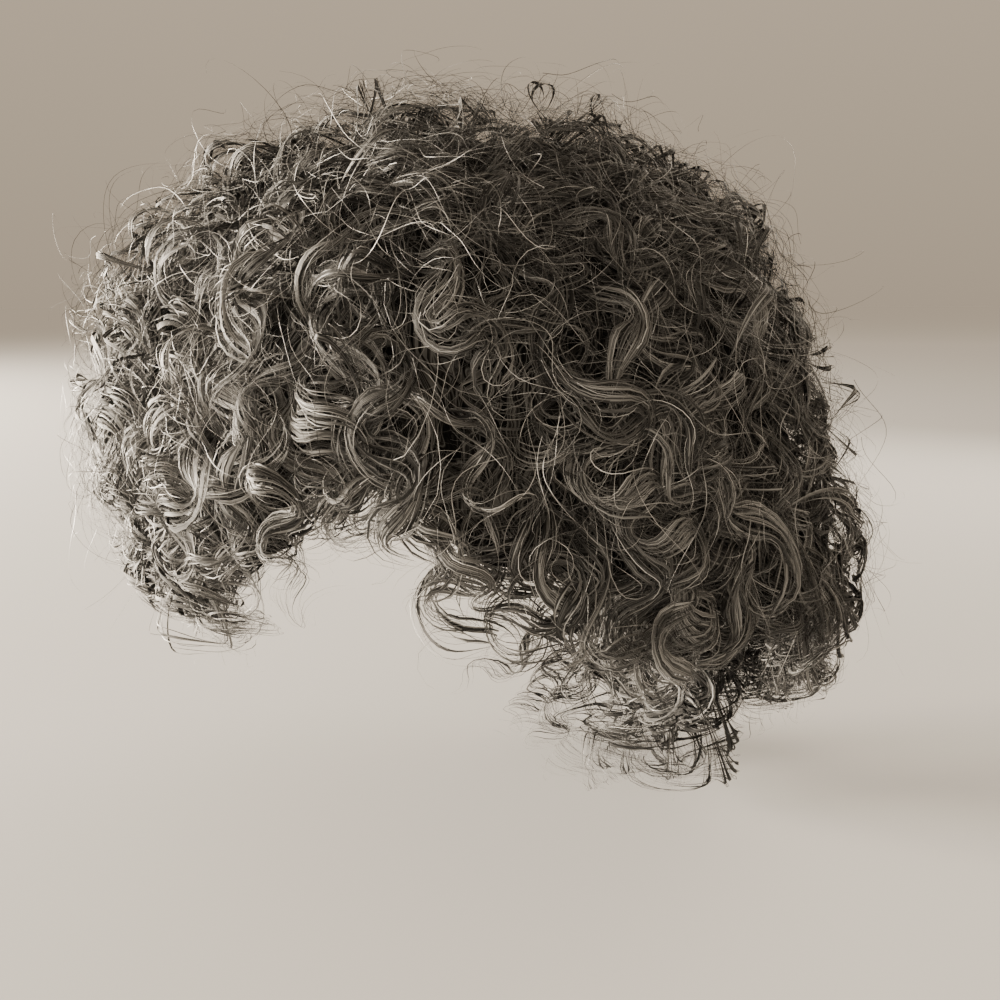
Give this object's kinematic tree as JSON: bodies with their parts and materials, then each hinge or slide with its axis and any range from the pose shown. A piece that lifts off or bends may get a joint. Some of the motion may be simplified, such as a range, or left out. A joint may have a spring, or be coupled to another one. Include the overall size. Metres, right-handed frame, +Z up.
{
  "type": "curly wig",
  "caption": "Full, rounded wig of loose grey curls with a long fringe and a longer nape, carried on a hollow cloth cap that is worn on the head.",
  "frame": {"origin": "inside of the cap's crown, where the top of the head bears", "axes": "+Z up, the face looks along -Y, the wearer's left side is +X"},
  "size_m": [0.3697, 0.3915, 0.3356],
  "materials": {
    "cap_cloth": "matte knit",
    "hair": "satin fibre, dark with grey and pale strands"
  },
  "bodies": {
    "root": {"cap": "cap_cloth", "crown_curls": "hair", "fringe_curls": "hair", "left_side_curls": "hair", "back_curls": "hair", "right_side_curls": "hair"}
  },
  "joints": []
}
